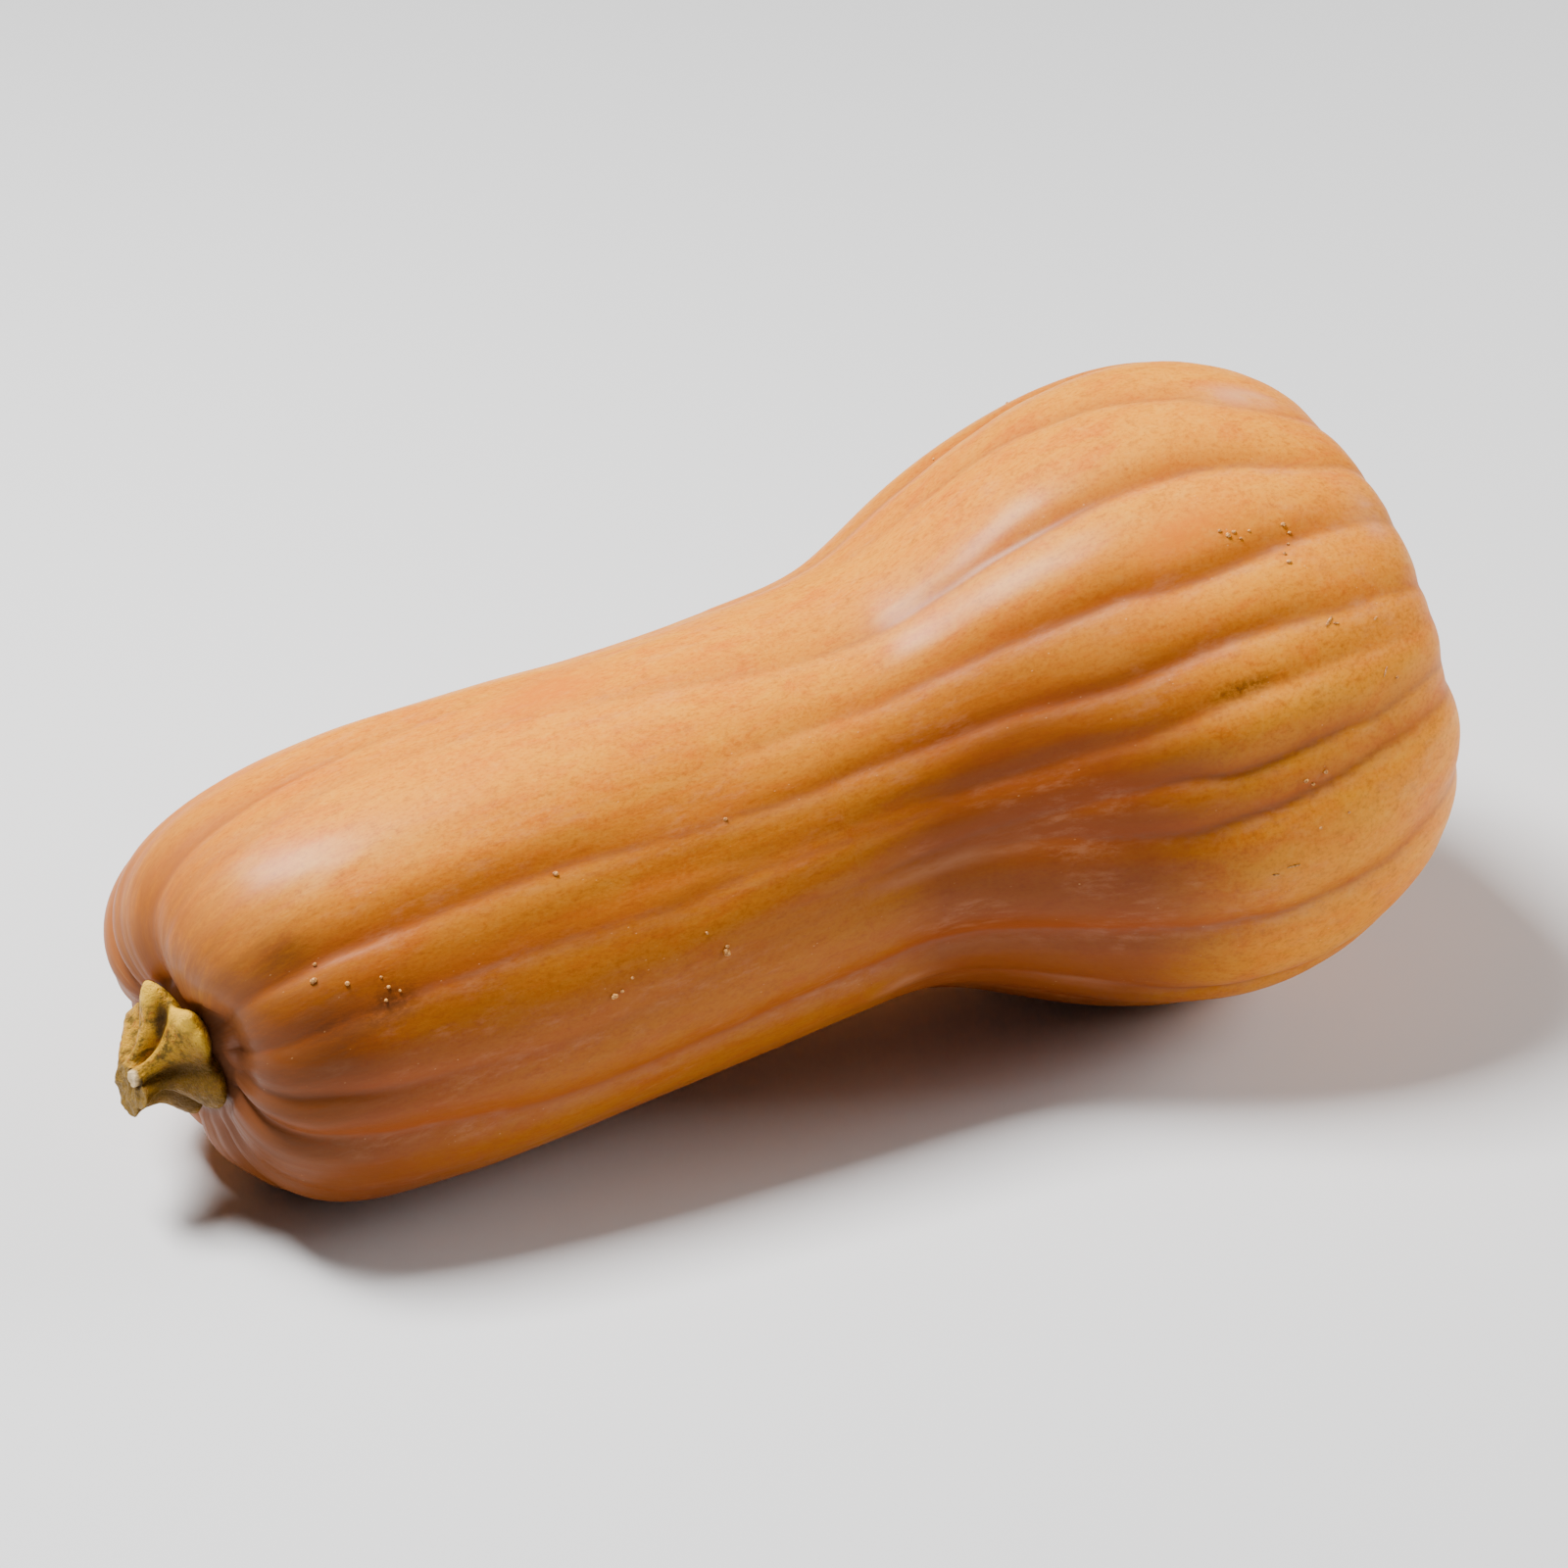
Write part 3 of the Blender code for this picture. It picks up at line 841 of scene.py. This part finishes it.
def stem_cut(share, radius, cut, angle):
    """Height of the slanting cut, how far it is torn out of its plane, and where chip and crack are."""
    lean = np.cos(np.radians(angle - STEM_CUT_HIGH_SIDE))
    height = STEM_CUT_HEIGHT + STEM_CUT_SLOPE * np.minimum(radius, cut) * lean
    turn = np.radians(angle)
    flat = np.stack((radius * np.sin(turn), radius * np.cos(turn), height), axis=-1)
    torn = np.zeros_like(share)
    for i, (size, tear) in enumerate(CUT_TEARS):
        torn += tear * lattice_noise(flat, (size, size, 1), SEED + 40 + i)
    chip_turn = math.radians(CHIP_ANGLE)
    across = flat[:, 0] - CHIP_DISTANCE * math.sin(chip_turn)
    upwards = flat[:, 1] - CHIP_DISTANCE * math.cos(chip_turn)
    from_chip = np.hypot(across, upwards * CHIP_NARROWNESS)
    chip = 1 - smooth_step(from_chip, CHIP_FLAT_SHARE * CHIP_SIZE, CHIP_SIZE)
    chip = chip * (share < STEM_CUT_SHARE * CHIP_REACH)
    crack = np.exp(-(((from_chip - CRACK_DISTANCE) / CRACK_HALF_WIDTH) ** 2))
    crack = crack * (share < STEM_CUT_SHARE * CRACK_REACH)
    torn += CHIP_LIFT * chip - CRACK_DEPTH * crack
    return height, torn, {"chip": chip, "crack": crack}


def stem_surface(share, angle):
    """The stem's points, and its measures; share runs from the middle of the cut to underneath."""
    cut, _, foot = stem_radii(angle).T
    down = np.clip((share - STEM_CUT_SHARE) / (1 - STEM_UNDER_SHARE - STEM_CUT_SHARE), 0, 1)
    side_radius, measures = stem_side(down, angle)
    inwards = np.minimum(share / STEM_CUT_SHARE, 1) * np.clip((1 - share) / STEM_UNDER_SHARE, 0, 1)
    radius = side_radius * inwards
    cut_height, torn, cut_measures = stem_cut(share, radius, cut, angle)
    cut_height = cut_height + torn * (1 - smooth_step(down, *CUT_TEARS_GO))
    tucked = foot * STEM_TUCK
    seat_height = -STEM_SUNK - hollow_station(radius) - cut_back(radius, angle)
    foot_height = -STEM_SUNK - hollow_station(tucked) - cut_back(tucked, angle)
    under = share > 1 - STEM_UNDER_SHARE
    height = np.where(under, seat_height, cut_height * (1 - down) + foot_height * down)
    return bent(-height, radius, angle), {"down": down, **measures, **cut_measures}


def make_stem(rest, material):
    mesh, share, angle = closed_grid("stem_stub", STEM_SIDES, STEM_RINGS)
    points, measures = stem_surface(share, angle)
    set_points(mesh, rest.laid(points))
    middle = stem_radii(angle)[:, 1]
    facing = np.cos(np.radians(angle - STEM_LOW_ANGLE))
    for name in ("fibres", "chip", "crack"):
        set_measure(mesh, name, measures[name])
    set_measure(mesh, "pit", np.clip(-measures["dip"] / FULL_PIT, 0, 1))
    set_measure(mesh, "knob", np.clip(measures["rise"] / FULL_KNOB, 0, 1))
    set_measure(mesh, "crest", np.clip((middle - CREST_FROM) / CREST_SPAN, 0, 1))
    set_measure(mesh, "low", smooth_step(facing, *STEM_LOW_FACING))
    set_measure(mesh, "cut", 1 - smooth_step(measures["down"], 0, CUT_EDGE))
    piece = add_piece("stem_stub", mesh, material)
    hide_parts("stem")


# ---------------------------------------------------------------- materials


class Nodes:
    """Short names for the shader nodes that the materials share."""

    def __init__(self, name):
        self.material = bpy.data.materials.new(name)
        self.material.use_nodes = True
        self.tree = self.material.node_tree
        self.shader = self.tree.nodes["Principled BSDF"]

    def new(self, kind, **settings):
        node = self.tree.nodes.new(kind)
        for key, value in settings.items():
            setattr(node, key, value)
        return node

    def plug(self, value, socket):
        if isinstance(value, bpy.types.NodeSocket):
            self.tree.links.new(value, socket)
        else:
            socket.default_value = value

    def measure(self, name, output="Fac"):
        return self.new("ShaderNodeAttribute", attribute_name=name).outputs[output]

    def stretched(self, vector, scales):
        node = self.new("ShaderNodeVectorMath", operation="MULTIPLY")
        self.plug(vector, node.inputs[0])
        node.inputs[1].default_value = scales
        return node.outputs["Vector"]

    def noise(self, vector, scales, detail=2.0, roughness=0.5, distortion=0.0):
        node = self.new("ShaderNodeTexNoise")
        self.plug(self.stretched(vector, scales), node.inputs["Vector"])
        node.inputs["Scale"].default_value = 1.0
        node.inputs["Detail"].default_value = detail
        node.inputs["Roughness"].default_value = roughness
        node.inputs["Distortion"].default_value = distortion
        return node.outputs["Fac"]

    def spots(self, vector, scales):
        node = self.new("ShaderNodeTexVoronoi")
        self.plug(self.stretched(vector, scales), node.inputs["Vector"])
        node.inputs["Scale"].default_value = 1.0
        return node.outputs["Distance"]

    def between(self, value, low, high, to_low=0.0, to_high=1.0):
        node = self.new("ShaderNodeMapRange", interpolation_type="SMOOTHSTEP")
        self.plug(value, node.inputs["Value"])
        node.inputs["From Min"].default_value = low
        node.inputs["From Max"].default_value = high
        node.inputs["To Min"].default_value = to_low
        node.inputs["To Max"].default_value = to_high
        return node.outputs["Result"]

    def maths(self, operation, first, second):
        node = self.new("ShaderNodeMath", operation=operation)
        self.plug(first, node.inputs[0])
        self.plug(second, node.inputs[1])
        return node.outputs["Value"]

    def mix(self, share, first, second):
        """From the first colour to the second; sockets 6, 7 and 2 are the node's ones for colours."""
        node = self.new("ShaderNodeMix", data_type="RGBA")
        self.plug(share, node.inputs["Factor"])
        self.plug(first, node.inputs[6])
        self.plug(second, node.inputs[7])
        return node.outputs[2]

    def layered(self, colour, layers):
        """Other colours over this one: mask, noise, where it starts and is full, shares there, tint."""
        for mask, noise, start, full, least, most, tint in layers:
            share = self.maths("MULTIPLY", mask, self.between(noise, start, full, least, most))
            colour = self.mix(share, colour, tint)
        return colour

    def bump(self, height, strength, distance, normal=None):
        node = self.new("ShaderNodeBump")
        node.inputs["Strength"].default_value = strength
        node.inputs["Distance"].default_value = distance
        self.plug(height, node.inputs["Height"])
        if normal is not None:
            self.plug(normal, node.inputs["Normal"])
        return node.outputs["Normal"]

    def shaded(self, inputs):
        """The material, with these values or sockets in its shader."""
        for name, value in inputs.items():
            self.plug(value, self.shader.inputs[name])
        return self.material


GOLD = (0.78, 0.246, 0.004, 1)
AMBER = (0.80, 0.284, 0.005, 1)
DEEP_ORANGE = (0.73, 0.178, 0.003, 1)
# Burnt orange is the skin's own mottle, and also the painted shade of the furrows.
BURNT = (0.31, 0.057, 0.006, 1)
# Painted shade of the lower side.
LOW_SHADE_BROWN = (0.190, 0.036, 0.0055, 1)
# Painted shade of flanks at the stem end.
FLANK_SHADE = (0.085, 0.021, 0.006, 1)
# Painted shade of patches along furrows.
FURROW_SHADE = (0.105, 0.030, 0.006, 1)
PEACH = (0.84, 0.39, 0.05, 1)
LILAC = (0.70, 0.34, 0.18, 1)
# Lilac bloom in painted shade.
SHADED_LILAC = (0.40, 0.165, 0.080, 1)
MAUVE = (0.33, 0.102, 0.026, 1)
# Painted shade at the stem end's lower side.
SHOULDER_SHADE = (0.150, 0.042, 0.008, 1)
# Plum: painted shade in the stem-end hollow and along the furrow floors.
PLUM = (0.22, 0.080, 0.040, 1)
# Painted shadow round the stem's foot.
SEAT_SHADOW = (0.085, 0.030, 0.012, 1)
PORE = (0.85, 0.50, 0.22, 1)
CORK = (0.30, 0.145, 0.045, 1)
CORK_PALE = (0.74, 0.36, 0.085, 1)
CORK_BROWN = (0.30, 0.10, 0.018, 1)


# Noises of the skin: cells in a metre along the fruit and across, detail, roughness, distortion.
SKIN_NOISES = {
    "broad": (45, 90, 3, 0.55, 0.0),
    "patch": (75, 170, 5, 0.65, 0.5),
    "streak": (110, 480, 4, 0.65, 0.0),
    "mottle": (420, 560, 5, 0.75, 0.0),
    "fleck": (1100, 1600, 3, 0.60, 0.0),
    "cloudy": (160, 420, 6, 0.75, 0.0),
}
# Layers of the bare skin: noise, where it starts and is full, share at full, colour.
SKIN_LAYERS = (
    ("patch", 0.46, 0.70, 0.80, DEEP_ORANGE),
    ("patch", 0.48, 0.30, 0.30, PEACH),
    ("streak", 0.50, 0.70, 0.25, DEEP_ORANGE),
    ("mottle", 0.50, 0.68, 0.30, BURNT),
    ("mottle", 0.48, 0.34, 0.25, PEACH),
    ("fleck", 0.50, 0.68, 0.28, BURNT),
    ("fleck", 0.48, 0.32, 0.22, PEACH),
)
# Shares of painted shade: on the lower side, in the furrows and round the stem's foot.
LOW_SHADE_STRENGTH = 0.90
VALLEY_STRENGTH = 0.78
SEAT_SHADOW_STRENGTH = 0.70


def bare_skin(n, noises):
    """Gold and amber skin with orange patches and streaks and fine mottle, with painted shade browning one
    side.
    """
    colour = n.mix(n.between(noises["broad"], 0.36, 0.64), GOLD, AMBER)
    for name, start, full, most, tint in SKIN_LAYERS:
        colour = n.mix(n.between(noises[name], start, full, 0, most), colour, tint)
    # Painted shade on the lower side.
    return n.mix(n.maths("MULTIPLY", n.measure("under"), LOW_SHADE_STRENGTH), colour, LOW_SHADE_BROWN)


def with_furrows(n, colour, noises, bloom_and_shade):
    """Furrows darkened with painted shade, a line of painted shade along the floor, dusty wax beside it,
    and pale drifts between.
    """
    cloudy = noises["cloudy"]
    # Painted shade in the furrows, with some deeper colour of their own.
    colour = n.mix(n.maths("MULTIPLY", n.measure("valley"), VALLEY_STRENGTH), colour, BURNT)
    layers = (
        (n.measure("haze"), cloudy, 0.38, 0.62, 0.03, 0.24, bloom_and_shade),
        # Painted shade along each furrow's floor, tinted plum.
        (n.measure("line"), cloudy, 0.35, 0.55, 0.10, 0.48, PLUM),
        (n.between(noises["broad"], 0.50, 0.36), cloudy, 0.45, 0.70, 0.00, 0.16, LILAC),
    )
    return n.layered(colour, layers)


def with_patches(n, colour, noises, bloom_and_shade):
    """Deeper orange and dusty patches, patches of painted shade, mauve and painted shade round the stem
    end, and painted shadow round its foot.
    """
    patch = noises["patch"]
    mottle = noises["mottle"]
    cloudy = noises["cloudy"]
    # Round the stem end: mauve that is partly the skin's own and partly painted shade, and on the lower
    # side painted shade brown.
    collar = n.mix(n.measure("under"), MAUVE, SHOULDER_SHADE)
    layers = (
        (n.measure("glow"), mottle, 0.30, 0.60, 0.40, 0.95, DEEP_ORANGE),
        (n.measure("bloom"), patch, 0.35, 0.60, 0.20, 0.65, bloom_and_shade),
        # Painted shade on flanks at the stem end.
        (n.measure("flank_shade"), cloudy, 0.30, 0.60, 0.45, 0.85, FLANK_SHADE),
        # Painted shade in patches along furrows.
        (n.measure("furrow_shade_patch"), mottle, 0.36, 0.58, 0.15, 0.85, FURROW_SHADE),
        (n.measure("shoulder"), cloudy, 0.25, 0.60, 0.55, 0.95, collar),
        # Painted shade in the stem-end hollow.
        (n.measure("hollow"), noises["streak"], 0.30, 0.60, 0.35, 0.80, PLUM),
    )
    colour = n.layered(colour, layers)
    # Painted shadow on the skin round the stem's foot.
    return n.mix(n.maths("MULTIPLY", n.measure("seat"), SEAT_SHADOW_STRENGTH), colour, SEAT_SHADOW)


def with_pores(n, colour, grain):
    """Pale pores in some places, and the corky scar."""
    pores = n.between(n.spots(grain, (380, 620, 620)), 0.10, 0.04)
    few = n.between(n.noise(grain, (90, 120, 120)), 0.50, 0.64, 0, 0.35)
    colour = n.mix(n.maths("MULTIPLY", pores, few), colour, PORE)
    return n.mix(n.measure("scar"), colour, CORK)


def skin_material():
    n = Nodes("squash_skin")
    grain = n.measure("grain", "Vector")
    noises = {
        name: n.noise(grain, (along, across, across), detail, roughness, distortion)
        for name, (along, across, detail, roughness, distortion) in SKIN_NOISES.items()
    }
    # Lilac bloom, turning to its painted shade copy on the lower side.
    bloom_and_shade = n.mix(n.measure("under"), LILAC, SHADED_LILAC)
    colour = bare_skin(n, noises)
    colour = with_furrows(n, colour, noises, bloom_and_shade)
    colour = with_patches(n, colour, noises, bloom_and_shade)
    colour = with_pores(n, colour, grain)
    shine = n.noise(grain, (120, 240, 240), detail=3)
    unevenness = n.noise(grain, (280, 480, 480), detail=3)
    height = n.maths("ADD", n.maths("MULTIPLY", noises["fleck"], 0.4), unevenness)
    waxy = n.bump(height, 0.22, 0.00035)
    return n.shaded({
        "Base Color": colour,
        "Roughness": n.between(shine, 0.3, 0.7, 0.46, 0.60),
        "Normal": n.bump(noises["streak"], 0.12, 0.0006, waxy),
        "Specular IOR Level": 0.06,
        "Coat Weight": 0.17,
        "Coat Roughness": 0.27,
    })


def cork_material():
    n = Nodes("corky_mark")
    place = n.new("ShaderNodeTexCoord").outputs["Object"]
    grit = n.noise(place, (2500, 2500, 2500), detail=3)
    return n.shaded({
        "Base Color": n.mix(n.between(grit, 0.35, 0.65), CORK_PALE, CORK_BROWN),
        "Normal": n.bump(grit, 0.6, 0.0003),
        "Roughness": 0.55,
    })


STEM_OCHRE = (0.34, 0.140, 0.004, 1)
# Painted highlight of the knobs and crests.
STEM_HIGHLIGHT = (0.90, 0.52, 0.030, 1)
STEM_OLIVE = (0.135, 0.076, 0.009, 1)
STEM_RUST = (0.30, 0.085, 0.012, 1)
STEM_DARK = (0.050, 0.022, 0.004, 1)
# Painted shade of the stem's lower side.
STEM_LOW_SHADE = (0.115, 0.055, 0.005, 1)
STEM_CUT = (0.27, 0.150, 0.022, 1)
STEM_CHIP = (0.80, 0.58, 0.30, 1)
STEM_LOW_SHADE_STRENGTH = 0.78


def stem_colour(n, place, blotch, long_grain, speck):
    """Ochre and olive cork with rusty fibres, painted highlights on crests and knobs, and painted shade in
    pits and on the lower side.
    """
    crest = n.maths("MULTIPLY", n.measure("crest"), n.between(blotch, 0.66, 0.42, 0, 0.34))
    colour = n.mix(n.between(blotch, 0.42, 0.60), STEM_OCHRE, STEM_OLIVE)
    # Painted highlight on the crests.
    colour = n.mix(crest, colour, STEM_HIGHLIGHT)
    colour = n.mix(n.between(long_grain, 0.52, 0.68, 0, 0.75), colour, STEM_RUST)
    # Painted highlight on the knobs.
    colour = n.mix(n.between(n.measure("knob"), 0.50, 1.0, 0, 0.85), colour, STEM_HIGHLIGHT)
    colour = n.mix(n.between(speck, 0.60, 0.72, 0, 0.3), colour, STEM_DARK)
    # Painted shade in the pits.
    colour = n.mix(n.between(n.measure("pit"), 0.10, 0.9, 0, 0.9), colour, STEM_DARK)
    # Painted shade on the stem's lower side.
    colour = n.mix(n.maths("MULTIPLY", n.measure("low"), STEM_LOW_SHADE_STRENGTH), colour, STEM_LOW_SHADE)
    crumb = n.noise(place, (900, 2400, 2400), detail=5, roughness=0.7)
    sawn = n.mix(n.between(crumb, 0.46, 0.66, 0, 0.8), STEM_CUT, STEM_OLIVE)
    colour = n.mix(n.measure("cut"), colour, sawn)
    colour = n.mix(n.measure("chip"), colour, STEM_CHIP)
    return n.mix(n.measure("crack"), colour, STEM_DARK)


def stem_material():
    n = Nodes("stem_cork")
    fibres = n.measure("fibres", "Vector")
    place = n.new("ShaderNodeTexCoord").outputs["Object"]
    long_grain = n.noise(fibres, (220, 1100, 1100), detail=5, roughness=0.65)
    blotch = n.noise(fibres, (300, 520, 520), detail=5, roughness=0.68)
    speck = n.noise(place, (2600, 2600, 2600), detail=2)
    on_side = n.maths("SUBTRACT", 1.0, n.measure("cut"))
    height = n.maths("ADD", n.maths("MULTIPLY", long_grain, on_side), speck)
    return n.shaded({
        "Base Color": stem_colour(n, place, blotch, long_grain, speck),
        "Normal": n.bump(height, 0.75, 0.0005),
        "Roughness": n.between(blotch, 0.3, 0.7, 0.36, 0.60),
        "Specular IOR Level": 0.14,
    })


def floor_material():
    return Nodes("pale_floor").shaded({
        "Base Color": (FLOOR_GREY, FLOOR_GREY, FLOOR_GREY, 1),
        "Roughness": 0.9,
        "Specular IOR Level": 0.1,
    })


# ---------------------------------------------------------------- studio


def make_floor():
    bpy.ops.mesh.primitive_plane_add(size=FLOOR_SIZE)
    floor = bpy.context.object
    floor.name = "floor"
    floor.data.materials.append(floor_material())


def add_softbox(name, place, aim, width, depth, power, glossy):
    light = bpy.data.lights.new(name, "AREA")
    light.shape = "RECTANGLE"
    light.size = width
    light.size_y = depth
    light.energy = power
    lamp = bpy.data.objects.new(name, light)
    lamp.location = place
    back = (Vector(place) - aim).normalized()
    across = Vector((0, 1, 0)).cross(back).normalized()
    lamp.rotation_euler = Matrix((across, back.cross(across), back)).transposed().to_euler()
    lamp.visible_glossy = glossy
    bpy.context.scene.collection.objects.link(lamp)


def make_studio(centre):
    for name, place, width, depth, power, glossy in SOFTBOXES:
        add_softbox(name, place, centre, width, depth, power, glossy)
    world = bpy.data.worlds.new("studio")
    world.use_nodes = True
    background = world.node_tree.nodes["Background"]
    background.inputs["Color"].default_value = (1, 1, 1, 1)
    background.inputs["Strength"].default_value = SKY_STRENGTH
    bpy.context.scene.world = world


def make_camera(centre):
    turn = math.radians(CAMERA_TURN)
    rise = math.radians(CAMERA_ELEVATION)
    back = Vector((-math.sin(turn) * math.cos(rise), -math.cos(turn) * math.cos(rise), math.sin(rise)))
    lens = bpy.data.cameras.new("camera")
    lens.lens = CAMERA_LENS
    lens.sensor_width = CAMERA_SENSOR
    camera = bpy.data.objects.new("camera", lens)
    camera.location = centre + CAMERA_AIM_FROM_CENTRE + back * CAMERA_DISTANCE
    camera.rotation_euler = (-back).to_track_quat("-Z", "Y").to_euler()
    bpy.context.scene.collection.objects.link(camera)
    bpy.context.scene.camera = camera


for leftover in list(bpy.data.objects):
    bpy.data.objects.remove(leftover)
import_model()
cad_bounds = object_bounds()
middle = (Vector(cad_bounds[0]) + Vector(cad_bounds[1])) / 2
make_camera(middle)
make_studio(middle)
make_floor()
fruit_rest = make_fruit(skin_material())
make_nodules(fruit_rest, cork_material())
make_stem(fruit_rest, stem_material())
